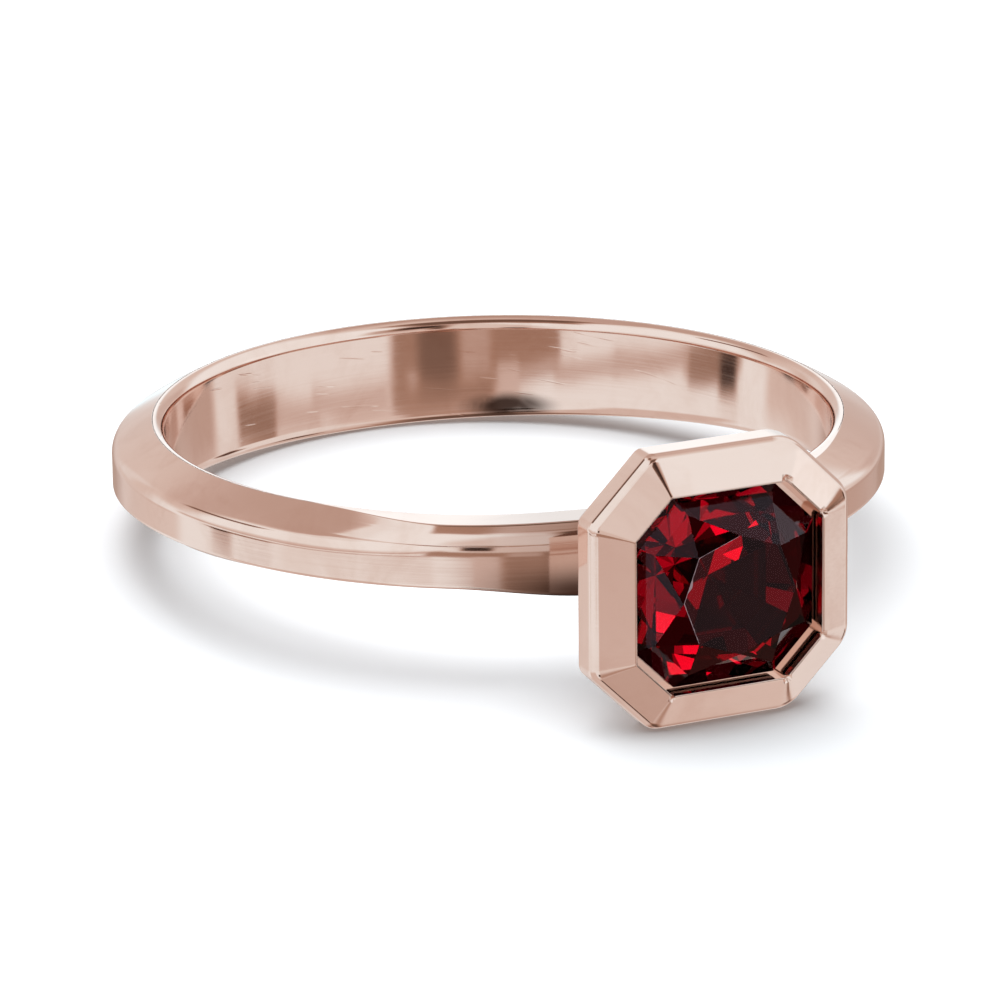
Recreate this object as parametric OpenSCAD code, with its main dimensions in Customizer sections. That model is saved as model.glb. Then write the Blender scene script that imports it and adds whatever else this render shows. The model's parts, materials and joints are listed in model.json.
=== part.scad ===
// Garnet ring: a bevelled rose gold shank with a cut-corner square stone in a bezel.
// The ring is drawn about the finger's axis with its head along -Y, then laid on its side.
// Heights of the head are measured from the finger's axis.

/* [Shank] */
// Radius of the finger hole
finger_r = 8.65; // [7.5:0.05:10.5]
// Radial thickness of the shank
shank_t = 1.4; // [1.2:0.05:1.8]
// Width of the shank at the head
width_head = 1.6; // [1.58:0.01:1.7]
// Width of the shank opposite the head
width_back = 2.95; // [2.4:0.05:3.2]
// How far the upper bevel drops towards the outer face
bevel_drop = 0.62; // [0.4:0.01:0.65]
// Width of the outer face at the head
face_w = 0.95; // [0.6:0.01:0.95]
// Further width of the outer face opposite the head
face_growth = 0.76; // [0.4:0.01:0.8]
// Rounding of the finger hole's two edges
edge_r = 0.35; // [0.2:0.01:0.4]
// Width of the flat ring on the underside, between the rounding and the lower bevel
land_w = 0.05; // [0.03:0.01:0.1]
// Height of the shank's upper side over the middle of the head
side_up = 0.9; // [0.7:0.05:1.1]

/* [Bezel] */
// Half the width of the bezel across its flats
bezel_half = 3.5; // [3.3:0.05:4]
// Length cut off each side at the bezel's corners
bezel_cut = 1.6; // [1.2:0.05:1.8]
// Half the width of the opening over the stone
lip_half = 2.5; // [2.48:0.01:2.6]
// Length cut off each side at the opening's corners
lip_cut = 0.95; // [0.8:0.01:1]
// Height of the bezel's outer edge
rim_h = 12.95; // [12.9:0.05:13.1]
// Rise of the sloped face from the outer edge to the lip
lip_rise = 0.5; // [0.4:0.05:0.7]
// Depth of the straight side wall under the outer edge
wall_d = 0.75; // [0.5:0.05:0.9]
// Half the width of the cup where it meets the shank
foot_half = 1; // [0.9:0.05:1.3]
// Length cut off each side at the foot's corners
foot_cut = 0.45; // [0.4:0.05:0.6]
// How deep the cup's foot is let into the shank
foot_sunk = 0.35; // [0.3:0.05:0.5]

/* [Stone] */
// Half the width of the stone at its girdle
girdle_half = 2.42; // [2.38:0.01:2.42]
// Length cut off each side at the girdle's corners
girdle_cut = 1.06; // [1:0.01:1.1]
// Height of the girdle's upper edge
girdle_h = 13.05; // [12.95:0.05:13.1]
// Thickness of the girdle
girdle_t = 0.12; // [0.08:0.01:0.2]
// Height of the crown, from the girdle to the table
crown_h = 0.9; // [0.8:0.05:1]
// Distance of the table's side points from the stone's axis
table_side = 1.51; // [1.45:0.01:1.55]
// Offset of the table's corner points along both sides
table_corner = 1.1; // [1.05:0.01:1.14]
// Share of the way from the girdle to the table's side points at which the crown bends
crown_bend = 0.43; // [0.4:0.01:0.45]
// Half the width of the pavilion where its slope changes
pavilion_half = 1.3; // [1.1:0.05:1.5]
// Slope of the upper pavilion, in degrees
pavilion_upper = 50; // [48:1:52]
// Slope of the lower pavilion, in degrees
pavilion_lower = 40; // [38:1:41]
// Play between the stone and its seat
seat_gap = 0.06; // [0.04:0.01:0.08]

/* [Hidden] */
$fn = 180;
outer_r = finger_r + shank_t;
// Inner radius of the shank's parts before the finger hole is cut through them
core_r = finger_r - edge_r;
rim_r = finger_r + edge_r;
under_r = rim_r + land_w;
face_top = side_up - bevel_drop;
face_low = face_top - face_w;
// The underside slants: the shank is narrow at the head and wide at the back
slant = asin((width_back - width_head) / (2 * under_r));
under_mid = side_up - (width_head + width_back) / 2;
lip_h = rim_h + lip_rise;
wall_low = rim_h - wall_d;
foot_h = outer_r - foot_sunk;
girdle_low = girdle_h - girdle_t;
table_h = girdle_h + crown_h;
bend_side = girdle_half - crown_bend * (girdle_half - table_side);
bend_corner = bend_side - girdle_cut * bend_side / girdle_half;
bend_h = girdle_h + crown_bend * crown_h;
pavilion_cut = girdle_cut * pavilion_half / girdle_half;
pavilion_mid = girdle_low - (girdle_half - pavilion_half) * tan(pavilion_upper);
culet_h = pavilion_mid - pavilion_half * tan(pavilion_lower);
// At rest the bezel's lower edge and the underside's lowest point at the back share one level
back_low = under_mid - under_r * sin(slant);
rest_tilt = atan((bezel_half + back_low) / (wall_low + under_r * cos(slant)));
floor_up = bezel_half * cos(rest_tilt) - wall_low * sin(rest_tilt);
front_y = -table_h * cos(rest_tilt) - table_side * sin(rest_tilt);
back_y = outer_r * cos(rest_tilt) + face_top * sin(rest_tilt);
// Step by which the faceted underside stays inside the round outer face
thin = 0.01;
// Points around the faceted underside, and their angles
steps = 120;
around = [for (i = [0:steps - 1]) 360 * i / steps];
// Longer than any part of the ring
far = 20;

// A square with cut corners, anticlockwise
function octagon(half, cut) = [
    [half - cut, -half], [half, cut - half], [half, half - cut], [half - cut, half],
    [cut - half, half], [-half, half - cut], [-half, cut - half], [cut - half, -half]
];

// Turns a point a quarter turn at a time about the stone's axis
function quarter(p, k) = k == 0 ? p : quarter([-p.y, p.x, p.z], k - 1);

// A solid between two cut-corner squares at two heights
module frustum(half_low, cut_low, low, half_high, cut_high, high) {
    polyhedron(
        points = concat(
            [for (p = octagon(half_low, cut_low)) [p.x, p.y, low]],
            [for (p = octagon(half_high, cut_high)) [p.x, p.y, high]]
        ),
        faces = concat(
            [[for (i = [0:7]) i], [for (i = [7:-1:0]) 8 + i]],
            [for (i = [0:7]) [i, 8 + i, 8 + (i + 1) % 8, (i + 1) % 8]]
        )
    );
}

// A point on the rounding of the finger hole's edge, from the hole's wall at 0 to the flat side at 90 degrees
function edge_point(a) = [rim_r - edge_r * cos(a), edge_r - edge_r * sin(a)];

// Where the rounding's first and last side run on past the hole's wall and past the flat side
function past_wall() = 2 * edge_point(0) - edge_point(30);
function past_side() = 2 * edge_point(90) - edge_point(60);

// The metal outside the underside's rounding
module edge_waste() {
    rotate_extrude()
        polygon([
            past_wall(), edge_point(30), edge_point(60), past_side(),
            [past_side().x, -edge_r], [core_r, -edge_r]
        ]);
}

// The shank's upper part: rounded edge of the finger hole, bevel and outer face
module upper_shank() {
    rotate_extrude()
        polygon(concat(
            [[core_r, face_low], [outer_r, face_low], [outer_r, face_top], [rim_r, side_up]],
            [for (p = [edge_point(60), edge_point(30), past_wall()]) [p.x, side_up - p.y]],
            [[core_r, side_up - past_wall().y]]
        ));
}

// How far round from the head an angle is, from 0 at the head to 1 at the back
function backness(a) = (1 + sin(a)) / 2;

// Points in the underside's plane, which drops towards the back, at a distance from its middle
function under_ring(r) = [
    for (a = around) [r * cos(a), r * sin(a) * cos(slant), under_mid - r * sin(a) * sin(slant)]
];

// Points on the outer face's lower edge, which drops faster the nearer it is to the back
function face_edge() = [
    for (a = around) [
        (outer_r - thin) * cos(a), (outer_r - thin) * sin(a),
        face_low - thin - face_growth * pow(backness(a), 4)
    ]
];

// Points level with the upper part's lower end, at a distance from the finger's axis
function joint_ring(r) = [for (a = around) [r * cos(a), r * sin(a), face_low]];

// The shank's lower part, from the upper part's lower end to the slanted underside
module lower_shank() {
    inner_r = core_r - edge_r;
    rings = [under_ring(inner_r), under_ring(under_r), face_edge(), joint_ring(outer_r - thin), joint_ring(inner_r)];
    n = len(rings);
    polyhedron(
        points = [for (ring = rings) for (p = ring) p],
        faces = [
            for (k = [0:n - 1]) for (i = [0:steps - 1])
                let (low = steps * k, high = steps * ((k + 1) % n), j = (i + 1) % steps)
                    for (f = [[low + i, high + i, high + j], [low + i, high + j, low + j]]) f
        ]
    );
}

// Runs along the head: x is across, y is up and z is the height over the finger's axis
module head_frame() {
    rotate([90, 0, 0]) children();
}

// The bezel's cup, side wall and sloped face
module bezel() {
    head_frame() {
        frustum(foot_half, foot_cut, foot_h, bezel_half, bezel_cut, wall_low);
        translate([0, 0, wall_low]) linear_extrude(wall_d) polygon(octagon(bezel_half, bezel_cut));
        frustum(bezel_half, bezel_cut, rim_h, lip_half, lip_cut, lip_h);
    }
}

// The opening over the girdle and the tapered seat under it
module seat() {
    head_frame() {
        translate([0, 0, girdle_low - seat_gap]) linear_extrude(far) polygon(octagon(lip_half, lip_cut));
        translate([0, 0, -seat_gap]) pavilion();
    }
}

// The stone's lower half: two rows of facets that meet in a point
module pavilion() {
    frustum(pavilion_half, pavilion_cut, pavilion_mid, girdle_half, girdle_cut, girdle_low);
    polyhedron(
        points = concat([for (p = octagon(pavilion_half, pavilion_cut)) [p.x, p.y, pavilion_mid]], [[0, 0, culet_h]]),
        faces = concat([[for (i = [7:-1:0]) i]], [for (i = [0:7]) [i, (i + 1) % 8, 8]])
    );
}

// The stone's upper half, made one quarter at a time from the side that faces +y
module crown() {
    side = girdle_half - girdle_cut;
    quarter_points = [
        [side, girdle_half, girdle_h], [-side, girdle_half, girdle_h],
        [bend_corner, bend_side, bend_h], [-bend_corner, bend_side, bend_h],
        [0, table_side, table_h], [-table_corner, table_corner, table_h]
    ];
    n = len(quarter_points);
    polyhedron(
        points = [for (k = [0:3]) for (p = quarter_points) quarter(p, k)],
        faces = concat(
            [[for (k = [0:3]) for (i = [0, 1]) n * k + i]],
            [[for (k = [3:-1:0]) for (i = [5, 4]) n * k + i]],
            [for (k = [0:3]) [n * k, n * k + 2, n * k + 4, n * k + 3, n * k + 1]],
            [for (k = [0:3]) let (m = n * ((k + 1) % 4)) [n * k + 1, n * k + 3, m + 2, m]],
            [for (k = [0:3]) let (m = n * ((k + 1) % 4)) [n * k + 3, n * k + 5, m + 2]],
            [for (k = [0:3]) [n * k + 4, n * k + 5, n * k + 3]],
            [for (k = [0:3]) let (m = n * ((k + 1) % 4)) [n * k + 5, m + 4, m + 2]]
        )
    );
}

// Lays the ring on its side, over the middle of its own outline
module at_rest() {
    translate([0, -(front_y + back_y) / 2, floor_up]) rotate([-rest_tilt, 0, 0]) children();
}

// The shank and the bezel, soldered into one
module mounting() {
    color("#d9b5a4") at_rest() difference() {
        union() {
            upper_shank();
            lower_shank();
            bezel();
        }
        cylinder(h = 2 * far, r = finger_r, center = true);
        translate([0, 0, under_mid]) rotate([-slant, 0, 0]) edge_waste();
        seat();
    }
}

// The cut garnet
module garnet() {
    color("#6e0d18") at_rest() head_frame() union() {
        crown();
        translate([0, 0, girdle_low]) linear_extrude(girdle_t) polygon(octagon(girdle_half, girdle_cut));
        pavilion();
    }
}

mounting();
garnet();
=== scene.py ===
"""Garnet ring: a bevelled rose gold shank and a cut-corner garnet in a sloped bezel."""
import json
import math
import random

import bmesh
import bpy
from bpy.props import FloatProperty, FloatVectorProperty, IntProperty, PointerProperty
from mathutils import Matrix, Vector


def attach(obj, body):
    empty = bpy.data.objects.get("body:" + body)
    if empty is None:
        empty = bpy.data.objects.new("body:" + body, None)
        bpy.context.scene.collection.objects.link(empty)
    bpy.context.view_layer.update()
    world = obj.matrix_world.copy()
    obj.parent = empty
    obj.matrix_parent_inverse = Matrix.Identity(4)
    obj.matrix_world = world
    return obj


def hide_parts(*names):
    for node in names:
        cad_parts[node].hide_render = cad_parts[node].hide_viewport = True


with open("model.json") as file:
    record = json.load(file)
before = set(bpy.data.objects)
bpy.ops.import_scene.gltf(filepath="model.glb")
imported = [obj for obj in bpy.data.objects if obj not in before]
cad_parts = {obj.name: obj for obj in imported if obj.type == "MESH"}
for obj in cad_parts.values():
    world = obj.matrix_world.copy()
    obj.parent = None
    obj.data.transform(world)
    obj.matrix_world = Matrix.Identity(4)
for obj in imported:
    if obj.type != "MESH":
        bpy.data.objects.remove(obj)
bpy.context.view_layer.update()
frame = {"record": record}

bl_info = {
    "name": "Garnet Ring",
    "version": (1, 0, 0),
    "blender": (4, 5, 0),
    "location": "View3D > Sidebar > Ring",
    "description": "Makes a bevelled rose gold ring with a bezel-set garnet, and its studio",
    "category": "Object",
}

MM = 0.001
BODY = "root"
# The finger hole's middle, axis and radius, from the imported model. Every piece is drawn about
# them, with the head along -Y
HOLE = next(m for m in frame["record"]["mounts"] if m["name"] == "finger_hole")
HOLE_R = HOLE["dims"]["r_mm"]
TILT = math.atan2(HOLE["axis"][1], HOLE["axis"][2])
REST = Matrix.Translation(HOLE["pos_m"]) @ Matrix.Rotation(-TILT, 4, "X")

# The bezel's eight corners, anticlockwise from the lower side's right end: each one's rounding as
# a multiple of the sharpest's, and the lip's notch there as a share of the deepest
MITRES = (2.4, 2.2, 2.6, 3.2, 1.0, 1.0, 1.0, 1.5)
NOTCHES = (1.0, 0.7, 0.8, 0.9, 0.0, 0.0, 0.0, 1.0)
# Steps of a rounded corner, and its points: the arc's, and one on each flat beside it
CORNER_STEPS = 6
CORNER_POINTS = CORNER_STEPS + 3
SEAT_GAP = 0.06 * MM  # between the stone and its seat, along its axis
PAVILION_SLOPES = math.radians(50), math.radians(40)  # of the upper and the lower row


def size(name, mm, text):
    """A length property, given in millimetres."""
    return FloatProperty(name=name, description=text, default=mm * MM, min=0.0, unit="LENGTH",
                         precision=5)


def linear(text):
    """An sRGB hex colour as linear RGBA."""
    parts = [int(text[i:i + 2], 16) / 255 for i in (1, 3, 5)]
    return [c / 12.92 if c <= 0.04045 else ((c + 0.055) / 1.055) ** 2.4 for c in parts] + [1.0]


def colour(name, text, use):
    """A colour property, given as sRGB hex."""
    return FloatVectorProperty(name=name, description=use, default=linear(text), size=4,
                               subtype="COLOR", min=0.0, max=1.0)


# ---- Sizes and colours ----

class RingShankSize(bpy.types.PropertyGroup):
    """Sizes of the shank, in the finger hole's own frame."""
    hole_r: size("Finger hole radius", HOLE_R, "Radius of the finger hole")
    thick: size("Thickness", 1.4, "Radial thickness of the shank")
    side_up: size("Upper side", 0.9, "Height of the upper side over the middle of the head")
    bevel_drop: size("Bevel drop", 0.62, "How far the upper bevel drops towards the outer face")
    face_head: size("Face at the head", 0.96, "Width of the outer face at the head")
    face_back: size("Face at the back", 1.72, "Width of the outer face at the back")
    width_head: size("Width at the head", 1.6, "Width of the shank at the head")
    width_back: size("Width at the back", 2.95, "Width of the shank at the back")
    edge_r: size("Hole edge radius", 0.35, "Rounding of the finger hole's edges")
    crease_r: size("Crease radius", 0.06, "Softness of the creases between the polished faces")
    outer_r: size("Outer rounding", 0.42, "Rounding from the upper bevel into the outer face")
    comfort: size("Comfort curve", 0.11, "Crown of the hole's wall across its width")
    crown: size("Bevel crown", 0.02, "How far the upper bevel bulges between its edges")
    shoulder: size("Shoulder", 0.78, "How much wider the flat upper side is beside the bezel")
    shoulder_start: size("Shoulder start", 7.2, "Distance beside the head where it begins")
    shoulder_end: size("Shoulder end", 4.6, "Distance beside the head where it is full")
    flare_up: size("Flare up", 0.05, "How far the upper side rises where it meets the bezel")
    flare_down: size("Flare down", 0.27, "How far the underside drops where it meets the bezel")
    flare_start: size("Flare start", 4.6, "Distance beside the head where the flare begins")
    flare_end: size("Flare end", 1.6, "Distance beside the head where the flare is full")
    around: IntProperty(name="Steps around", description="Sections round the ring", default=360,
                        min=60, max=720)


class RingBezelSize(bpy.types.PropertyGroup):
    """Sizes of the bezel. Heights are from the finger's axis."""
    half: size("Half width", 3.5, "Half the width across the flats")
    cut: size("Corner cut", 1.6, "Length cut off each side at the corners")
    rim_h: size("Rim height", 12.95, "Height of the outer edge")
    wall: size("Side wall", 0.75, "Depth of the straight side wall")
    lip_half: size("Opening half width", 2.5, "Half the width of the opening over the stone")
    lip_cut: size("Opening cut", 0.95, "Length cut off each side at the opening's corners")
    lip_rise: size("Face rise", 0.5, "Rise of the sloped face from the rim to the lip")
    lip_w: size("Lip width", 0.05, "Width of the flat top of the lip")
    foot_half: size("Foot half width", 1.0, "Half the cup's width where it meets the shank")
    foot_cut: size("Foot cut", 0.45, "Length cut off each side at the foot's corners")
    foot_h: size("Foot height", 9.7, "Height of the cup's foot")
    rim_r: size("Rim rounding", 0.3, "Rounding between the side wall and the sloped faces")
    corner_r: size("Corner rounding", 0.34, "Rounding of the side wall's eight corners")
    notch_l: size("Notch length", 0.13, "How far the lip's notches reach outwards")
    notch_d: size("Notch depth", 0.16, "Depth of the lip's notches")
    mitre_r: size("Mitre rounding", 0.12, "Rounding where two sloped faces meet at the lip")


class RingStoneSize(bpy.types.PropertyGroup):
    """Sizes of the garnet. Heights are from the finger's axis."""
    half: size("Girdle half width", 2.42, "Half the width at the girdle")
    cut: size("Girdle cut", 1.06, "Length cut off each side at the girdle's corners")
    girdle_h: size("Girdle height", 13.05, "Height of the girdle's upper edge")
    girdle_t: size("Girdle thickness", 0.12, "Thickness of the girdle")
    crown: size("Crown height", 0.9, "Height from the girdle to the table")
    table_side: size("Table side", 1.51, "Distance of the table's side points from the axis")
    table_corner: size("Table corner", 1.1, "Offset of the corner points along both sides")
    middle_half: size("Pavilion break", 1.3, "Half the pavilion's width where its slope changes")
    worn: size("Worn edge", 0.016, "Width of the rubbed line along three of the table's edges")
    chip: size("Chip", 0.1, "Depth of the small chip in the table's left edge")


class RingFinish(bpy.types.PropertyGroup):
    """Colours of the metal and the stone."""
    gold: colour("Rose gold", "#EBCBBD", "Polished 14 carat rose gold")
    gold_deep: colour("Rose gold, deep", "#D9B09E", "The metal where a film or wear deepens it")
    gem_tint: colour("Garnet", "#EC0A98", "What the garnet lets through, with the density")


# ---- Outlines ----

def fillet(before, corner, after, radius, steps):
    """Points round one corner: an arc, and a point on each flat beside it that keeps it flat."""
    u, v = (before - corner).normalized(), (after - corner).normalized()
    half = u.angle(v) / 2
    centre = corner + (u + v).normalized() * (radius / math.sin(half))
    reach = radius / math.tan(half)
    start, end = corner + u * reach, corner + v * reach
    s, e = start - centre, end - centre
    sweep = s.angle(e)
    arc = []
    for k in range(steps + 1):
        to_go, gone = math.sin((1 - k / steps) * sweep), math.sin(k / steps * sweep)
        arc.append(centre + (s * to_go + e * gone) / math.sin(sweep))
    guard = min(radius * 0.4, 0.02 * MM)
    return [start + u * guard] + arc + [end + v * guard]


def side_octagon(half, cut):
    """A square with cut corners, anticlockwise from the lower side's right end."""
    c = half - cut
    return [(c, -half), (half, -c), (half, c), (c, half),
            (-c, half), (-half, c), (-half, -c), (-c, -half)]


def round_octagon(half, cut, radius):
    """The square with cut corners, its eight corners rounded as the bezel's are."""
    corners = [Vector(p) for p in side_octagon(half, cut)]
    made = []
    for k, corner in enumerate(corners):
        made += fillet(corners[k - 1], corner, corners[(k + 1) % 8], radius * MITRES[k],
                       CORNER_STEPS)
    return made


def head_point(x, y, height):
    """A point of the head in the hole's frame: x across, y up, height from the finger's axis."""
    return Vector((x, -height, y))


# ---- Materials ----

MATH, MAPPED, MIXED = "ShaderNodeMath", "ShaderNodeMapRange", "ShaderNodeMix"
NOISE, BUMP, VECTOR = "ShaderNodeTexNoise", "ShaderNodeBump", "ShaderNodeVectorMath"
JOINED, SPLIT, TURNED = "ShaderNodeCombineXYZ", "ShaderNodeSeparateXYZ", "ShaderNodeMapping"
ADD, SUBTRACT, TIMES, OVER = ({"operation": kind}
                              for kind in ("ADD", "SUBTRACT", "MULTIPLY", "DIVIDE"))
ABSOLUTE, UNDER, LENGTH = ({"operation": kind} for kind in ("ABSOLUTE", "LESS_THAN", "LENGTH"))
SMOOTH, COLOURS = {"interpolation_type": "SMOOTHSTEP"}, {"data_type": "RGBA"}


def node(tree, kind, settings=(), **inputs):
    """Adds a node with its settings and inputs.

    An input is named, or numbered after an underscore. It is given as a value, as a socket to
    link from, or as a node whose first output is linked."""
    made = tree.nodes.new(kind)
    for name, value in dict(settings).items():
        setattr(made, name, value)
    for name, value in inputs.items():
        socket = made.inputs[int(name[1:]) if name[0] == "_" else name.replace("_", " ")]
        if isinstance(value, bpy.types.Node):
            value = value.outputs[0]
        if isinstance(value, bpy.types.NodeSocket):
            tree.links.new(value, socket)
        else:
            socket.default_value = value
    return made


def new_material(name):
    """An empty node material with its output."""
    made = bpy.data.materials.new(name)
    made.use_nodes = True
    made.node_tree.nodes.clear()
    return made, made.node_tree, made.node_tree.nodes.new("ShaderNodeOutputMaterial")


def ring_coordinates(tree):
    """Object coordinates turned back into the finger hole's frame, in metres."""
    place = node(tree, "ShaderNodeTexCoord")
    back = REST.inverted()
    return node(tree, TURNED, {"vector_type": "POINT"}, Vector=place.outputs["Object"],
                Location=back.to_translation(), Rotation=back.to_euler())


def rose_gold(name, finish, rough, haze, joint_painted_reflection=0.0):
    """Rose gold, cast and hand polished on a wheel: a pink mirror with faint waves and lines.

    Rough is the roughness between the lines, and haze how much of the deeper film shows. The
    last argument is how dark a painted dark reflection is, beside the soldered joint and darkest
    at the lower edge. It is given for the shank only, which also has the marks of its hole's wall
    and a painted dark reflection low on that wall."""
    made, tree, out = new_material(name)
    at = ring_coordinates(tree)
    xyz = node(tree, SPLIT, Vector=at).outputs
    turn = node(tree, MATH, {"operation": "ARCTAN2"}, _0=xyz["Y"], _1=xyz["X"])
    flat = node(tree, JOINED, X=xyz["X"], Y=xyz["Y"])
    radius = node(tree, VECTOR, LENGTH, _0=flat).outputs["Value"]
    # Polishing lines run round the finger hole, 2.2 to the radian, so about 4 mm long, and
    # 0.05 mm apart
    along, apart = 2.2, 1 / (0.05 * MM)
    lay = node(tree, JOINED, X=node(tree, MATH, TIMES, _0=turn, _1=along),
               Y=node(tree, MATH, TIMES, _0=radius, _1=apart),
               Z=node(tree, MATH, TIMES, _0=xyz["Z"], _1=apart))
    lines = node(tree, NOISE, Vector=lay, Scale=1.0, Detail=3.0, Roughness=0.6)
    # Waves left by the hand on the wheel, about 3 mm long, a finer ripple of 0.8 mm, and a deeper
    # film in patches of 2.4 mm. These are how many there are to the metre
    wave_rate, ripple_rate, patch_rate = 330.0, 1250.0, 420.0
    waves = node(tree, NOISE, Vector=at, Scale=wave_rate, Detail=1.0, Roughness=0.4)
    ripple = node(tree, NOISE, Vector=at, Scale=ripple_rate, Detail=2.0, Roughness=0.5)
    film = node(tree, NOISE, Vector=at, Scale=patch_rate, Detail=4.0, Roughness=0.6,
                Distortion=0.6)
    shade = node(tree, MAPPED, SMOOTH, Value=film, From_Min=0.45, From_Max=0.75, To_Min=0.0,
                 To_Max=haze)
    base = node(tree, MIXED, COLOURS, _0=shade, _6=finish.gold, _7=finish.gold_deep).outputs[2]
    if joint_painted_reflection:
        # Painted reflection: beside the soldered joint, and most at the lower edge, a dark brown
        # is painted into the colour in place of a dark reflection
        near = node(tree, MAPPED, SMOOTH, Value=node(tree, MATH, ABSOLUTE, _0=xyz["X"]),
                    From_Min=5.6 * MM, From_Max=2.4 * MM)
        front = node(tree, MAPPED, Value=xyz["Y"], From_Min=-7.6 * MM, From_Max=-8.4 * MM)
        below = node(tree, MAPPED, SMOOTH, Value=xyz["Z"], From_Min=0.1 * MM,
                     From_Max=-0.75 * MM, To_Min=0.25)
        beside = node(tree, MATH, TIMES, _0=near, _1=front)
        painted_reflection_mask = node(tree, MATH, TIMES, _0=beside, _1=below)
        base = node(tree, MIXED, COLOURS, _0=node(tree, MATH, TIMES, _0=painted_reflection_mask, _1=joint_painted_reflection),
                    _6=base, _7=linear("#3E2A22")).outputs[2]
        # Painted reflection: a dark smear painted low on the finger hole's wall, right of the
        # back's middle, stands in for a dark reflection there. Each row is what is measured, its
        # value at the smear's middle, and how far from that the smear reaches. The film makes its
        # edge ragged
        reach = []
        for value, middle, half in ((turn.outputs[0], math.radians(63.5), math.radians(8.5)),
                                    (xyz["Z"], -1.6 * MM, 0.4 * MM),
                                    (film.outputs["Fac"], 0.5, 0.22)):
            moved = node(tree, MATH, SUBTRACT, _0=value, _1=middle)
            reach.append(node(tree, MATH, OVER, _0=moved, _1=half))
        spread = node(tree, VECTOR, LENGTH,
                      _0=node(tree, JOINED, X=reach[0], Y=reach[1], Z=reach[2]))
        painted_reflection_smear = node(tree, MAPPED, SMOOTH, Value=spread.outputs["Value"], From_Min=1.25,
                     From_Max=0.35, To_Max=0.94)
        # Only the hole's wall and its edges lie within 9 mm of the finger's axis
        inside = node(tree, MATH, UNDER, _0=radius, _1=9 * MM)
        base = node(tree, MIXED, COLOURS, _0=node(tree, MATH, TIMES, _0=painted_reflection_smear, _1=inside),
                    _6=base, _7=linear("#2E1A12")).outputs[2]
    gloss = node(tree, MAPPED, Value=lines, From_Min=0.35, From_Max=0.75, To_Min=rough,
                 To_Max=rough * 1.8)
    normal = node(tree, BUMP, Strength=1.0, Distance=0.02 * MM, Height=waves)
    normal = node(tree, BUMP, Strength=1.0, Distance=0.0006 * MM, Height=ripple, Normal=normal)
    normal = node(tree, BUMP, Strength=0.5, Distance=0.0004 * MM, Height=lines, Normal=normal)
    if joint_painted_reflection:
        # The finger rubs fine scratches into the hole's wall, about 1.5 mm long, nearly along
        # the polishing lines
        unrolled = node(tree, JOINED, X=node(tree, MATH, TIMES, _0=turn, _1=HOLE_R * MM),
                        Y=xyz["Z"], Z=radius)
        aslant = node(tree, TURNED, {"vector_type": "TEXTURE"}, Vector=unrolled,
                      Rotation=(0.0, 0.0, math.radians(9)), Scale=(1.4 * MM, 0.09 * MM, 0.5 * MM))
        worn = node(tree, NOISE, Vector=aslant, Scale=1.0, Detail=0.0)
        scratch = node(tree, MAPPED, Value=worn, From_Min=0.78, From_Max=0.84)
        normal = node(tree, BUMP, {"invert": True}, Strength=1.0, Distance=0.0015 * MM,
                      Height=node(tree, MATH, TIMES, _0=scratch, _1=inside), Normal=normal)
    skin = node(tree, "ShaderNodeBsdfPrincipled", Base_Color=base, Metallic=1.0,
                Roughness=gloss, Normal=normal)
    tree.links.new(skin.outputs["BSDF"], out.inputs["Surface"])
    return made


def cup_gold_with_painted_shade():
    """Rose gold as cast, in the cup where no wheel reaches, behind the stone: dull, and painted
    near black as the shade under the stone.
    """
    made, tree, out = new_material("as_cast_gold_painted_shade_in_cup")
    # The dark brown is painted shade: the shade in the cup under the stone
    skin = node(tree, "ShaderNodeBsdfPrincipled", Base_Color=linear("#3A261F"), Metallic=1.0,
                Roughness=0.5)
    tree.links.new(skin.outputs["BSDF"], out.inputs["Surface"])
    return made


def worn_garnet():
    """Garnet rubbed matt along an edge: a pale line, because tiny chips scatter the light."""
    made, tree, out = new_material("abraded_garnet_edge")
    skin = node(tree, "ShaderNodeBsdfPrincipled", Base_Color=linear("#93787F"), Roughness=0.5,
                IOR=1.76)
    tree.links.new(skin.outputs["BSDF"], out.inputs["Surface"])
    return made


def garnet_crystal(finish):
    """Pyrope-almandine garnet, cut and polished: clear facets over a body that is deep red."""
    made, tree, out = new_material("polished_garnet")
    skin = node(tree, "ShaderNodeBsdfPrincipled", Base_Color=(1.0, 1.0, 1.0, 1.0),
                Roughness=0.0, IOR=1.76, Specular_Tint=(0.28, 0.17, 0.2, 1.0),
                Transmission_Weight=1.0)
    body = node(tree, "ShaderNodeVolumeAbsorption", Color=finish.gem_tint, Density=1040.0)
    tree.links.new(skin.outputs["BSDF"], out.inputs["Surface"])
    tree.links.new(body.outputs["Volume"], out.inputs["Volume"])
    return made


# ---- Mesh helpers ----

def new_piece(name, mesh, *materials):
    """An object at the origin with the mesh laid at rest."""
    made = bpy.data.objects.new(name, mesh)
    mesh.transform(REST)
    if mesh.materials:
        mesh.materials.clear()
    for material in materials:
        mesh.materials.append(material)
    bpy.context.scene.collection.objects.link(made)
    return made


def finished(made, name):
    """The bmesh as a plain mesh. The bmesh is freed."""
    mesh = bpy.data.meshes.new(name)
    made.to_mesh(mesh)
    made.free()
    return mesh


def baked(holder, name):
    """The evaluated mesh of an object and its modifiers as a plain mesh. The holder is removed."""
    graph = bpy.context.evaluated_depsgraph_get()
    mesh = bpy.data.meshes.new_from_object(holder.evaluated_get(graph), depsgraph=graph)
    mesh.name = name
    old = holder.data
    bpy.data.objects.remove(holder)
    bpy.data.meshes.remove(old)
    return mesh


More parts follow.
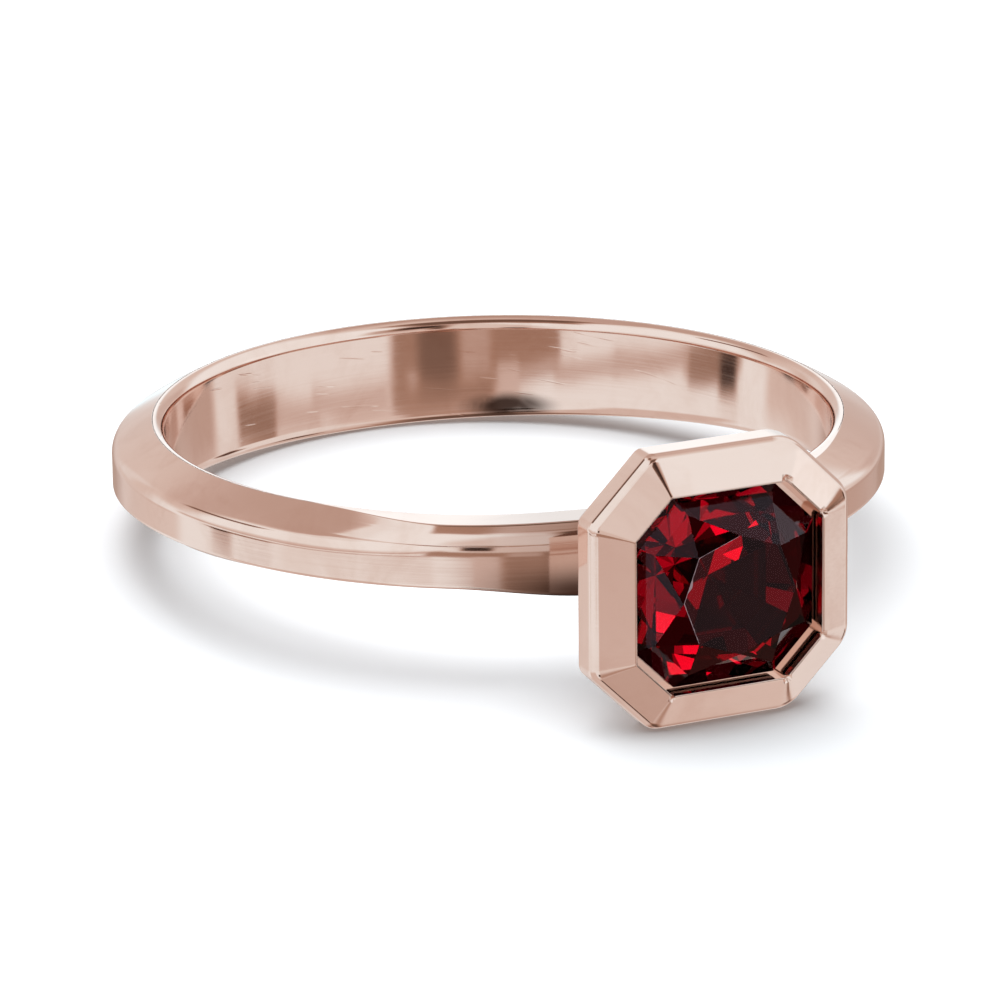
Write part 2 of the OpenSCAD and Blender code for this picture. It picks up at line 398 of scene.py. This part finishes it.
def loft(rings, tip):
    """A closed shell through rings of points: the first is filled, the last drawn to a tip."""
    made = bmesh.new()
    verts = [[made.verts.new(p) for p in ring] for ring in rings]
    for low, high in zip(verts, verts[1:]):
        n = len(low)
        for i in range(n):
            made.faces.new((low[i], low[(i + 1) % n], high[(i + 1) % n], high[i]))
    made.faces.new(verts[0])
    last, point = verts[-1], made.verts.new(tip)
    for i in range(len(last)):
        made.faces.new((last[i], last[(i + 1) % len(last)], point))
    bmesh.ops.recalc_face_normals(made, faces=made.faces)
    return made, verts


# ---- Shank ----

def shank_section(sizes, back=False, shoulder=0.0):
    """The section at the head, or at the back, as rows of (radius, height, power, flare).

    Power shapes a point's way from the head's section to the back's. Flare is how far it moves
    at the bezel."""
    slope = (sizes.width_back - sizes.width_head) / (2 * (sizes.hole_r + sizes.edge_r))
    middle = sizes.side_up - (sizes.width_head + sizes.width_back) / 2
    hole, out, rim = sizes.hole_r, sizes.hole_r + sizes.thick, sizes.hole_r + sizes.edge_r
    face_top = sizes.side_up - sizes.bevel_drop
    face_low = face_top - (sizes.face_back if back else sizes.face_head)

    def under(radius):
        return middle + (-slope if back else slope) * radius

    edge_r = 0.92 * sizes.edge_r
    top = rim + shoulder
    # The bevel's middle stands a little proud, and further where the shoulder curves it
    full = shoulder / sizes.shoulder
    across = Vector((top, sizes.side_up)).lerp(Vector((out, face_top)), 0.5 + 0.02 * full)
    proud = Vector((sizes.bevel_drop, out - top)).normalized() * (
        sizes.crown + 0.05 * MM * full)
    bevel_r = (8 - 7.2 * full) * MM
    # Each row is a corner's radius and height, its rounding and the steps of that, its power,
    # and its share of the flare
    rows = [
        (hole, sizes.side_up, edge_r, 12, 1, 1.0),
        (top, sizes.side_up, sizes.crease_r, 4, 1, 1.0),
        (*(across + proud), bevel_r, 8, 1, 0.65),
        (out, face_top, sizes.outer_r + full * 0.9 * MM, 12, 1, 0.3),
        (out, face_low, 1.5 * sizes.crease_r, 5, 4, -1.0),
        (rim, under(rim), sizes.crease_r, 4, 1, -1.0),
        (hole, under(hole), edge_r, 10, 1, -1.0),
    ]
    made = []
    for k, (r, z, radius, steps, power, flare) in enumerate(rows):
        before, after = rows[k - 1], rows[(k + 1) % len(rows)]
        flare *= sizes.flare_up if flare > 0 else sizes.flare_down
        for p in fillet(Vector(before[:2]), Vector((r, z)), Vector(after[:2]), radius, steps):
            made.append((p.x, p.y, power, flare))
    # The hole's wall is a shallow curve, as a comfort fit has
    low, high, wall_steps = made[-1], made[0], 12
    for k in range(1, wall_steps):
        share = k / wall_steps
        made.append([low[i] + (high[i] - low[i]) * share for i in range(4)])
    tall = high[1] - low[1]
    ease = sizes.comfort * tall / sizes.width_back
    curved = []
    for r, z, power, flare in made:
        off = ease * ((high[1] - z) / tall - 0.5) ** 2 * max(0.0, 1 - (r - hole) / edge_r)
        curved.append((r + off, z, power, flare))
    return curved


def sweep_tree():
    """Sweeps a section round the finger hole. Its points go from the head's to the back's."""
    tree = bpy.data.node_groups.new("shank_sweep", "GeometryNodeTree")
    for name, kind in (("Geometry", "Geometry"), ("Steps Around", "Int"), ("Hole Radius", "Float"),
                       ("Flare Start", "Float"), ("Flare End", "Float"),
                       ("Shoulder Start", "Float"), ("Shoulder End", "Float"),
                       ("Material", "Material")):
        tree.interface.new_socket(name, in_out="INPUT", socket_type="NodeSocket" + kind)
    tree.interface.new_socket("Geometry", in_out="OUTPUT", socket_type="NodeSocketGeometry")
    given = tree.nodes.new("NodeGroupInput").outputs
    out = tree.nodes.new("NodeGroupOutput")

    # A grid with a row of points for each point of the section, and a column for each step
    count = node(tree, "GeometryNodeAttributeDomainSize",
                 Geometry=given["Geometry"]).outputs["Point Count"]
    grid = node(tree, "GeometryNodeMeshGrid", Size_X=1.0, Size_Y=1.0,
                Vertices_X=node(tree, MATH, ADD, _0=given["Steps Around"], _1=1.0),
                Vertices_Y=node(tree, MATH, ADD, _0=count, _1=1.0))
    place = node(tree, SPLIT, _0=node(tree, "GeometryNodeInputPosition")).outputs
    angle = node(tree, MATH, TIMES, _0=node(tree, MATH, ADD, _0=place["X"], _1=0.5), _1=math.tau)
    row = node(tree, MATH, TIMES, _0=node(tree, MATH, ADD, _0=place["Y"], _1=0.5), _1=count)
    index = node(tree, MATH, {"operation": "MODULO"}, _1=count,
                 _0=node(tree, MATH, {"operation": "ROUND"}, _0=row))
    cosine = node(tree, MATH, {"operation": "COSINE"}, _0=angle)
    sine = node(tree, MATH, {"operation": "SINE"}, _0=angle)

    def of_section(name, kind):
        """The section's own attribute at the same point."""
        field = node(tree, "GeometryNodeInputNamedAttribute", {"data_type": kind}, Name=name)
        return node(tree, "GeometryNodeSampleIndex", {"data_type": kind},
                    Geometry=given["Geometry"], Value=field, Index=index)

    def near_head(start, end):
        """How near the head a point is: 0 at one distance to its side, 1 at another."""
        side = node(tree, MATH, ABSOLUTE,
                    _0=node(tree, MATH, TIMES, _0=given["Hole Radius"], _1=cosine))
        near = node(tree, MAPPED, SMOOTH, Value=side, From_Min=given[start],
                    From_Max=given[end])
        return node(tree, MATH, TIMES, _0=near, _1=node(tree, MATH, UNDER, _0=sine, _1=0.0))

    backness = node(tree, MATH, TIMES, _0=node(tree, MATH, ADD, _0=sine, _1=1.0), _1=0.5)
    way = node(tree, MATH, {"operation": "POWER"}, _0=backness, _1=of_section("power", "FLOAT"))
    plain = node(tree, MIXED, {"data_type": "VECTOR"}, _0=way,
                 _4=of_section("position", "FLOAT_VECTOR"),
                 _5=of_section("back", "FLOAT_VECTOR")).outputs[1]
    # The flat upper side was filed less on the right of the head
    filed = node(tree, MAPPED, SMOOTH, Value=cosine, From_Min=0.05, From_Max=0.3, To_Min=1.0,
                 To_Max=0.35)
    broader = node(tree, MATH, TIMES, _0=near_head("Shoulder Start", "Shoulder End"), _1=filed)
    grown = node(tree, VECTOR, {"operation": "SCALE"},
                 Vector=of_section("shoulder", "FLOAT_VECTOR"), Scale=broader)
    section = node(tree, SPLIT, _0=node(tree, VECTOR, _0=plain, _1=grown)).outputs
    shift = node(tree, MATH, TIMES, _0=near_head("Flare Start", "Flare End"),
                 _1=of_section("flare", "FLOAT"))
    point = node(tree, JOINED, X=node(tree, MATH, TIMES, _0=section["X"], _1=cosine),
                 Y=node(tree, MATH, TIMES, _0=section["X"], _1=sine),
                 Z=node(tree, MATH, ADD, _0=section["Y"], _1=shift))
    moved = node(tree, "GeometryNodeSetPosition", Geometry=grid, Position=point)
    closed = node(tree, "GeometryNodeMergeByDistance", Geometry=moved, Distance=0.0001 * MM)
    outwards = node(tree, "GeometryNodeFlipFaces", Mesh=closed)
    smooth = node(tree, "GeometryNodeSetShadeSmooth", Geometry=outwards)
    real = node(tree, "GeometryNodeRealizeInstances", Geometry=smooth)
    done = node(tree, "GeometryNodeSetMaterial", Geometry=real, Material=given["Material"])
    tree.links.new(done.outputs[0], out.inputs[0])
    return tree


class RING_OT_shank(bpy.types.Operator):
    """Make the shank: a bevelled section swept round the finger hole, wider at the back"""
    bl_idname = "ring.shank"
    bl_label = "Shank"

    def execute(self, context):
        sizes = context.scene.ring_shank
        head, back = shank_section(sizes), shank_section(sizes, back=True)
        broad = shank_section(sizes, shoulder=sizes.shoulder)
        mesh = bpy.data.meshes.new("section")
        mesh.from_pydata([(r, z, 0.0) for r, z, _, _ in head],
                         [(i, i + 1) for i in range(len(head) - 1)], [])
        vectors = {"back": [(r, z, 0.0) for r, z, _, _ in back],
                   "shoulder": [(b[0] - a[0], b[1] - a[1], 0.0) for a, b in zip(head, broad)]}
        for name, rows in vectors.items():
            layer = mesh.attributes.new(name, "FLOAT_VECTOR", "POINT")
            layer.data.foreach_set("vector", [c for row in rows for c in row])
        for name, column in (("power", 2), ("flare", 3)):
            layer = mesh.attributes.new(name, "FLOAT", "POINT")
            layer.data.foreach_set("value", [row[column] for row in head])
        holder = bpy.data.objects.new("section", mesh)
        context.scene.collection.objects.link(holder)
        # 0.95 sets how dark the shank's painted dark reflections are
        gold = rose_gold("polished_rose_gold", context.scene.ring_finish, 0.07, 0.5, joint_painted_reflection=0.95)
        given = {"Steps Around": sizes.around, "Hole Radius": sizes.hole_r,
                 "Flare Start": sizes.flare_start, "Flare End": sizes.flare_end,
                 "Shoulder Start": sizes.shoulder_start, "Shoulder End": sizes.shoulder_end,
                 "Material": gold}
        sweep = holder.modifiers.new("Sweep", "NODES")
        sweep.node_group = sweep_tree()
        for item in sweep.node_group.interface.items_tree:
            if item.name in given:
                sweep[item.identifier] = given[item.name]
        made = new_piece("shank", baked(holder, "shank"), gold)
        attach(made, BODY)
        return {"FINISHED"}


# ---- Bezel ----

def bezel_rings(sizes, stone, lip_h):
    """The bezel's rings, from the foot over the lip to the seat.

    Each is half width, corner cut, height and the rounding of its corners."""
    low = stone.girdle_h - stone.girdle_t - SEAT_GAP
    share = stone.middle_half / stone.half
    lip_out, lip_out_cut = sizes.lip_half + sizes.lip_w, sizes.lip_cut + 0.6 * sizes.lip_w
    notch = sizes.notch_l / (sizes.half - lip_out)
    opening_r, seat_r = 0.5 * sizes.mitre_r, 0.02 * MM
    # Each row is half width, corner cut, height, the profile's rounding there, and the
    # rounding of the ring's corners
    rows = [
        (sizes.foot_half, sizes.foot_cut, sizes.foot_h, 0.0, 0.2 * MM),
        (sizes.half, sizes.cut, sizes.rim_h - sizes.wall, 0.14 * MM, sizes.corner_r),
        (sizes.half, sizes.cut, sizes.rim_h, sizes.rim_r, sizes.corner_r),
        (lip_out + notch * (sizes.half - lip_out), lip_out_cut + notch * (sizes.cut - lip_out_cut),
         lip_h + notch * (sizes.rim_h - lip_h), 0.0, sizes.mitre_r),
        (lip_out, lip_out_cut, lip_h, 0.05 * MM, sizes.mitre_r),
        (sizes.lip_half, sizes.lip_cut, lip_h, 0.02 * MM, opening_r),
        (sizes.lip_half, sizes.lip_cut, low, 0.0, opening_r),
        (stone.half, stone.cut, low, 0.0, seat_r),
        (stone.middle_half, stone.cut * share, pavilion_middle(stone) - SEAT_GAP, 0.0, seat_r),
    ]
    tiny = 1e-9
    rings = []
    for k, (half, cut, height, radius, corner_r) in enumerate(rows):
        before, after = rows[k - 1], rows[(k + 1) % len(rows)]
        here = Vector((half, height))
        spots = [here]
        if radius:
            spots = fillet(Vector(before[:3:2]), here, Vector(after[:3:2]), radius, 7)
        for spot in spots:
            # A point of the rounding lies towards a row beside it, and takes its corner cut so
            other = before if abs(spot.y - height) > tiny and spot.y < height else after
            wide = other[0] - half
            along = (spot.x - half) / wide if abs(wide) > tiny else 0.0
            rings.append((spot.x, cut + (other[1] - cut) * along, spot.y, corner_r))
    return rings


class RING_OT_bezel(bpy.types.Operator):
    """Make the bezel: a tapered cup, a side wall, eight sloped faces and the stone's seat"""
    bl_idname = "ring.bezel"
    bl_label = "Bezel"

    def execute(self, context):
        sizes, stone = context.scene.ring_bezel, context.scene.ring_stone
        low = stone.girdle_h - stone.girdle_t - SEAT_GAP
        lip_h = sizes.rim_h + sizes.lip_rise - 0.3 * sizes.lip_w
        rings = bezel_rings(sizes, stone, lip_h)
        reach = 0.06 * MM
        lip = [k for k, (half, _, height, _) in enumerate(rings)
               if height > lip_h - reach and half < sizes.lip_half + sizes.lip_w + reach]
        # The setter's cuts leave a small notch in the lip at most of its corners
        loops = []
        for n, (half, cut, height, corner_r) in enumerate(rings):
            drop = sizes.notch_d if n in lip else 0.0
            loop = []
            for k, (x, y) in enumerate(round_octagon(half, cut, corner_r)):
                corner, along = divmod(k, CORNER_POINTS)
                peak = 1 - abs(2 * along / (CORNER_POINTS - 1) - 1)
                loop.append(head_point(x, y, height - drop * NOTCHES[corner] * peak))
            loops.append(loop)
        made, shell = loft(loops, head_point(0, 0, culet(stone) - SEAT_GAP))
        for face in made.faces:
            face.smooth = True
        sharp_h = {round(low / MM, 4), round(sizes.foot_h / MM, 4)}
        for edge in made.edges:
            if all(round(-v.co.y / MM, 4) in sharp_h for v in edge.verts):
                edge.smooth = False
        # Sharp sides keep each notch's shading off the flat faces beside it
        start, end = lip[0] - 1, lip[-1] + 1
        for corner, depth in enumerate(NOTCHES):
            if depth:
                first = corner * CORNER_POINTS
                last = first + CORNER_POINTS - 1
                pairs = [(shell[r][k], shell[r + 1][k])
                         for r in range(start, end) for k in (first, last)]
                pairs += [(shell[r][k], shell[r][k + 1])
                          for r in (start, end) for k in range(first, last)]
                for pair in pairs:
                    made.edges.get(pair).smooth = False
        # The faces under the stone's girdle that look up are left as cast: dull, and painted dark
        # as the shade under the stone
        for face in made.faces:
            spot = face.calc_center_median()
            within = max(abs(spot.x), abs(spot.z)) < sizes.lip_half
            if within and -spot.y < low - 0.005 * MM and -face.normal.y > 0.05:
                face.material_index = 1
        gold = rose_gold("polished_rose_gold_bezel", context.scene.ring_finish, 0.06, 0.4)
        made = new_piece("bezel", finished(made, "bezel"), gold, cup_gold_with_painted_shade())
        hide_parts("mounting")
        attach(made, BODY)
        return {"FINISHED"}


# ---- Garnet ----

def pavilion_middle(stone):
    """Height at which the pavilion's slope changes."""
    run = stone.half - stone.middle_half
    return stone.girdle_h - stone.girdle_t - run * math.tan(PAVILION_SLOPES[0])


def culet(stone):
    """Height of the pavilion's point."""
    return pavilion_middle(stone) - stone.middle_half * math.tan(PAVILION_SLOPES[1])


def worn_edges(made, table, stone):
    """Narrow rubbed strips inside three of the table's edges. Gives the line along their insides.

    The second edge, on the table's left, has a small chip."""
    draw = random.Random(7)
    # Steps along an edge. The last one stops short of the corner, and the last strip ends in it
    steps, short, last = 14, 0.985, 2
    # The chip's middle and half its length, as shares of its edge
    chip_at, chip_half = 0.62, 0.17
    inner = [table[0]]
    for k in range(last + 1):
        start, end = table[k].co, table[k + 1].co
        inward = (end - start).cross(Vector((0, 1, 0))).normalized()
        if inward.dot(start) > 0:
            inward.negate()
        row = []
        for step in range(1, steps + (k < last)):
            along = step / steps
            width = stone.worn * draw.uniform(0.5, 1.4)
            if k == 1:
                near = max(0.0, 1 - abs(along - chip_at) / chip_half)
                width += stone.chip * near * draw.uniform(0.5, 1.0)
            row.append(made.verts.new(start.lerp(end, min(along, short)) + inward * width))
        strip = [table[k + 1], *reversed(row)] + ([inner[-1]] if k else []) + [table[k]]
        made.faces.new(strip).material_index = 1
        inner += row
    return inner + [table[last + 1]]


class RING_OT_garnet(bpy.types.Operator):
    """Make the garnet: a step and star crown, a girdle and a two-row pavilion"""
    bl_idname = "ring.garnet"
    bl_label = "Garnet"

    def execute(self, context):
        stone = context.scene.ring_stone
        # The crown bends at this share of its height
        bend = 0.43
        side = stone.half - bend * (stone.half - stone.table_side)
        corner = side - stone.cut * side / stone.half
        top, bend_h = stone.girdle_h + stone.crown, stone.girdle_h + bend * stone.crown
        end = stone.half - stone.cut
        quarter = [(end, stone.half, stone.girdle_h), (-end, stone.half, stone.girdle_h),
                   (corner, side, bend_h), (-corner, side, bend_h),
                   (0.0, stone.table_side, top), (-stone.table_corner, stone.table_corner, top)]
        share = stone.middle_half / stone.half
        made = bmesh.new()
        quarters = []
        for k in range(4):
            turn = Matrix.Rotation(k * math.pi / 2, 3, "Z")
            at = [turn @ Vector(p) for p in quarter]
            rows = at + [Vector((p.x, p.y, stone.girdle_h - stone.girdle_t)) for p in at[:2]]
            rows += [Vector((p.x * share, p.y * share, pavilion_middle(stone))) for p in at[:2]]
            quarters.append([made.verts.new(head_point(*p)) for p in rows])
        tip = made.verts.new(head_point(0, 0, culet(stone)))
        table = [q[i] for q in quarters for i in (4, 5)]
        made.faces.new(worn_edges(made, table, stone) + table[4:])
        for q, r in zip(quarters, quarters[1:] + quarters[:1]):
            for face in ((q[0], q[2], q[4], q[3], q[1]), (q[1], q[3], r[2], r[0]),
                         (q[3], q[5], r[2]), (q[4], q[5], q[3]), (q[5], r[4], r[2]),
                         (q[0], q[1], q[7], q[6]), (q[1], r[0], r[6], q[7]),
                         (q[6], q[7], q[9], q[8]), (q[7], r[6], r[8], q[9]),
                         (q[8], q[9], tip), (q[9], r[8], tip)):
                made.faces.new(face)
        bmesh.ops.recalc_face_normals(made, faces=made.faces)
        made = new_piece("cut_garnet", finished(made, "cut_garnet"),
                         garnet_crystal(context.scene.ring_finish), worn_garnet())
        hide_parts("garnet")
        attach(made, BODY)
        return {"FINISHED"}


# ---- Stage ----

class RingView(bpy.types.PropertyGroup):
    """The photograph's viewpoint, about the finger hole's axis."""
    azimuth: FloatProperty(name="Azimuth", description="Turn about the finger's axis",
                           default=math.radians(-24.482), subtype="ANGLE")
    elevation: FloatProperty(name="Elevation", description="Rise over the plane of the ring",
                             default=math.radians(17.666), subtype="ANGLE")
    roll: FloatProperty(name="Roll", description="Turn about the line of sight",
                        default=math.radians(-0.726), subtype="ANGLE")
    distance: size("Distance", 160, "From the camera to the middle of the shank's upper side")
    lens: FloatProperty(name="Lens", description="Focal length on a 36 mm sensor", default=221.5)


# How far the line of sight passes to the right of the shank's upper middle, and over it
SIGHT_RIGHT, SIGHT_UP = 0.056 * MM, -2.343 * MM


def camera_axes(view):
    """The camera's right, up and back directions in the finger hole's frame."""
    az, el, roll = view.azimuth, view.elevation, view.roll
    back = Vector((math.sin(az) * math.cos(el), -math.cos(az) * math.cos(el), math.sin(el)))
    right = Vector((math.cos(az), math.sin(az), 0.0))
    up = back.cross(right)
    return (right * math.cos(roll) + up * math.sin(roll),
            up * math.cos(roll) - right * math.sin(roll), back)


# Softboxes and flags round the ring, each laid over those before it: azimuth and elevation of
# its middle (0 is the front, 90 the right), half width, half height and edge in degrees, turn,
# and how bright it is
STUDIO = (
    (-90, -32, 55, 28, 8, 0, 0.98),
    (-90, -60, 24, 32, 6, 0, 0.76),
    (152, -20, 27, 9, 9, 0, 0.49),
    (68, -30, 30, 22, 8, 0, 0.91),
    (105, -58, 12, 12, 4, 0, 0.70),
    (-165, 58, 34, 24, 12, 0, 0.60),
    (-85, 35, 42, 26, 7, 0, 1.02),
    (65, 34, 46, 28, 7, 0, 1.03),
    (-112, 58, 12, 4, 2.5, 0, 0.95),
    (-85, -4, 45, 3, 2.5, 0, 0.68),
    (130, 5, 16, 10, 6, 0, 0.68),
    (48, -1, 32, 4.6, 2, 0, 0.45),
    (68, 12, 9, 6, 4, 0, 1.12),
    (-6, -32, 15, 15, 4, 0, 0.50),
    (-10, -55, 8, 6, 3, 0, 0.62),
    (48, -11, 37, 3.6, 1.5, 0, 0.94),
    (30, -15.4, 14, 1.3, 1.0, 0, 0.66),
    (55, -16.6, 13, 1.4, 1.2, 0, 0.66),
    (-58, -11, 16, 2.2, 1.2, 0, 0.95),
    (-85, -11, 16, 2.2, 1.2, 0, 0.95),
    (-56, -14.4, 12, 1.2, 1.0, 0, 0.60),
    (-80, -14.4, 14, 1.4, 1.2, 0, 0.60),
    (-106, -15.0, 13, 2.0, 1.2, 0, 0.58),
    (-102, -15.3, 7, 2.4, 1, 0, 0.36),
    (-150, -19, 16, 3, 3, 0, 0.75),
    (3, -15.8, 10, 1.5, 1.5, 0, 0.42),
    (-17, -8.4, 28.5, 5.0, 0.8, 0, 0.42),
    (-17, -9.6, 5, 4.8, 2, 0, 0.60),
    (-3, -9.6, 7, 5.2, 2.5, 0, 0.22),
    (10, -11, 2.5, 5.2, 2.5, 0, 0.40),
    (-15, 24, 12, 14, 4, 0, 0.86),
    (14, 31, 9, 12, 5, 0, 0.60),
    (5, 38, 8, 10, 4, 0, 0.05),
    (-3, 26, 3, 10, 2.5, 0, 0.14),
    (-25, 70, 22, 15, 5, 0, 0.18),
    (-48, 54, 10, 4.5, 3, 0, 0.45),
    (-136, 38, 12, 3, 2, -32, 0.16),
    (157, 4, 8, 20, 5, 0, 1.22),
    (-166, 8, 6, 14, 4, 0, 0.86),
    (153, 45, 6, 8, 3, 0, 0.50),
    (-31, 5, 4.5, 4.5, 1.2, 0, 0.05),
    (-30, -36, 4.5, 5, 1.2, 0, 0.05),
    (-28, -66, 5, 4, 1.5, 0, 0.05),
    (-31, -13.9, 13.5, 0.8, 0.5, 0, 0.54),
    (-28, -14.6, 3.4, 2.4, 0.6, 0, 0.71),
    (-15, -15.0, 8, 1.5, 1.8, 0, 0.34),
    (-113, -16.4, 4, 2.6, 1.5, 0, 0.05),
    (70, -17.2, 9, 2.2, 1.5, 0, 0.34),
    (110, -17, 16, 4, 3, 0, 0.58),
    (80, -82, 24, 12, 8, 0, 0.16),
    (80, -5, 5, 4.5, 2, 0, 0.08),
    (91, -29, 5.5, 5, 2, 0, 0.10),
    (83, -54, 6, 4.5, 2, 0, 0.15),
)
# The same studio as the stone sees it: the lamps themselves, small and strong, in a dark room
SPARKLE = (
    (100, 25, 32, 30, 10, 0, 0.30),
    (-100, 25, 32, 30, 10, 0, 0.30),
    (180, 30, 35, 30, 10, 0, 0.30),
    (-22, -22, 12, 9, 3, 0, 1.2),
    (-24, 5, 7.5, 6, 2.5, 0, 3.3),
    (6, 6, 6, 6, 2, 0, 1.2),
    (18, 30, 8, 8, 3, 0, 0.7),
    (-6, 44, 8, 6, 3, 0, 0.35),
    (70, -30, 14, 12, 5, 0, 1.0),
)
# How bright each is between its panels
TENT_LEVEL, ROOM_LEVEL = 0.79, 0.06
# The metal's view of the tent: its colour at each level. Dim parts are warm, as where the ring's
# own light falls on the tent, and bright ones cool
TENT_TINTS = ((0.0, (0.01, 0.006, 0.005)), (0.054, (0.054, 0.035, 0.03)),
              (0.453, (0.453, 0.315, 0.25)), (0.7, (0.7, 0.63, 0.6)), (0.79, (0.79, 0.76, 0.74)),
              (1.0, (0.99, 1.17, 1.25)), (1.5, (1.45, 1.75, 1.9)))
WHITE = (1.0, 1.0, 1.0, 1.0)


def panels(tree, look, rows, level):
    """How bright a studio is in each direction, from its rows of panels over an even level."""
    for az, el, wide, tall, edge, turn, bright in rows:
        spin = (Matrix.Rotation(math.radians(az), 3, "Z")
                @ Matrix.Rotation(math.radians(-el), 3, "X")
                @ Matrix.Rotation(math.radians(turn), 3, "Y"))
        facing = node(tree, TURNED, {"vector_type": "VECTOR"}, Vector=look,
                      Rotation=spin.inverted().to_euler())
        local = node(tree, SPLIT, _0=facing).outputs
        inside = node(tree, MATH, UNDER, _0=local["Y"], _1=0.0)
        for way, reach in (("X", wide), ("Z", tall)):
            off = node(tree, MATH, ABSOLUTE, _0=local[way])
            fade = node(tree, MAPPED, SMOOTH, Value=off, To_Min=1.0, To_Max=0.0,
                        From_Min=math.sin(math.radians(reach - edge)),
                        From_Max=math.sin(math.radians(reach + edge)))
            inside = node(tree, MATH, TIMES, _0=inside, _1=fade)
        level = node(tree, MIXED, _0=inside, _2=level, _3=bright)
    return level


def studio_world():
    """Soft panels of light with dim warm gaps, as the metal mirrors them, and a white backdrop."""
    world = bpy.data.worlds.new("studio")
    world.use_nodes = True
    tree = world.node_tree
    tree.nodes.clear()
    look = node(tree, "ShaderNodeTexCoord").outputs["Generated"]
    brightest = TENT_TINTS[-1][0]
    tint = node(tree, "ShaderNodeValToRGB", _0=node(
        tree, MATH, OVER, _0=panels(tree, look, STUDIO, TENT_LEVEL), _1=brightest))
    ramp = tint.color_ramp.elements
    while len(ramp) < len(TENT_TINTS):
        ramp.new(1.0)
    for stop, (at, rgb) in zip(ramp, TENT_TINTS):
        stop.position, stop.color = at / brightest, (*rgb, 1.0)
    mirrored = node(tree, "ShaderNodeBackground", Color=tint, Strength=1.0)
    plain = node(tree, "ShaderNodeBackground", Color=WHITE, Strength=1.0)
    fill = node(tree, "ShaderNodeBackground", Color=WHITE, Strength=0.20)
    through = node(tree, "ShaderNodeBackground", Color=(1.0, 0.97, 0.95, 1.0),
                   Strength=panels(tree, look, SPARKLE, ROOM_LEVEL))
    path = node(tree, "ShaderNodeLightPath").outputs
    shown = mirrored
    for rays, seen in (("Is Transmission Ray", through), ("Is Camera Ray", plain),
                       ("Is Diffuse Ray", fill)):
        shown = node(tree, "ShaderNodeMixShader", _0=path[rays], _1=shown, _2=seen)
    node(tree, "ShaderNodeOutputWorld", Surface=shown)
    return world


def pale_floor():
    """Matt white paper: an even pale ground with a faint grain, where the soft shadow shows."""
    made, tree, out = new_material("pale_floor")
    grain = node(tree, NOISE, Vector=node(tree, "ShaderNodeTexCoord").outputs["Object"],
                 Scale=40.0)
    paper = node(tree, MIXED, COLOURS, _0=grain, _6=linear("#E4E7EA"), _7=linear("#E9ECEF"))
    skin = node(tree, "ShaderNodeBsdfPrincipled", Base_Color=paper.outputs[2], Roughness=0.9,
                Specular_IOR_Level=0.0, Emission_Color=WHITE, Emission_Strength=0.03)
    tree.links.new(skin.outputs["BSDF"], out.inputs["Surface"])
    return made


class RING_OT_stage(bpy.types.Operator):
    """Make the stage: a pale floor, a soft light, the studio and the camera"""
    bl_idname = "ring.stage"
    bl_label = "Stage"

    def execute(self, context):
        scene, view = context.scene, context.scene.ring_view
        right, up, back = camera_axes(view)
        spot = right * SIGHT_RIGHT + up * SIGHT_UP + back * view.distance
        spot.z += scene.ring_shank.side_up
        turn = Matrix((right, up, back)).transposed().to_4x4()
        data = bpy.data.cameras.new("camera")
        data.lens, data.sensor_width = view.lens, 36.0
        data.clip_start, data.clip_end = 0.005, 5.0
        camera = bpy.data.objects.new("camera", data)
        camera.matrix_world = REST @ Matrix.Translation(spot) @ turn
        scene.camera = camera

        mesh = bpy.data.meshes.new("floor")
        reach = 900 * MM
        mesh.from_pydata([(-reach, -reach, 0), (reach, -reach, 0), (reach, reach, 0),
                          (-reach, reach, 0)], [], [(0, 1, 2, 3)])
        mesh.materials.append(pale_floor())
        floor = bpy.data.objects.new("floor", mesh)

        data = bpy.data.lights.new("overhead_softbox", "AREA")
        data.shape, data.size, data.size_y = "RECTANGLE", 600 * MM, 600 * MM
        data.energy = 3.8
        lamp = bpy.data.objects.new("overhead_softbox", data)
        above = Vector((-20, 80, 400))
        lamp.location = above * MM
        lamp.rotation_euler = (-above).to_track_quat("-Z", "Y").to_euler()

        for made in (camera, floor, lamp):
            scene.collection.objects.link(made)
        # The metal and the stone mirror the studio, not the paper under them or the lamp
        for made in (floor, lamp):
            made.visible_glossy = made.visible_transmission = False
        scene.world = studio_world()
        scene.view_settings.view_transform = "Standard"
        return {"FINISHED"}


# ---- Add-on ----

PIECES = (RING_OT_shank, RING_OT_bezel, RING_OT_garnet, RING_OT_stage)
GROUPS = {"ring_shank": RingShankSize, "ring_bezel": RingBezelSize, "ring_stone": RingStoneSize,
          "ring_finish": RingFinish, "ring_view": RingView}


class RING_PT_panel(bpy.types.Panel):
    """Lists the ring's pieces"""
    bl_idname = "RING_PT_panel"
    bl_label = "Garnet Ring"
    bl_space_type = "VIEW_3D"
    bl_region_type = "UI"
    bl_category = "Ring"

    def draw(self, context):
        for made in PIECES:
            self.layout.operator(made.bl_idname)


CLASSES = (*GROUPS.values(), *PIECES, RING_PT_panel)


def register():
    for made in CLASSES:
        bpy.utils.register_class(made)
    for name, made in GROUPS.items():
        setattr(bpy.types.Scene, name, PointerProperty(type=made))


def unregister():
    for name in GROUPS:
        delattr(bpy.types.Scene, name)
    for made in reversed(CLASSES):
        bpy.utils.unregister_class(made)


def main():
    register()
    for made in PIECES:
        group, name = made.bl_idname.split(".")
        getattr(getattr(bpy.ops, group), name)()


if __name__ == "__main__":
    main()
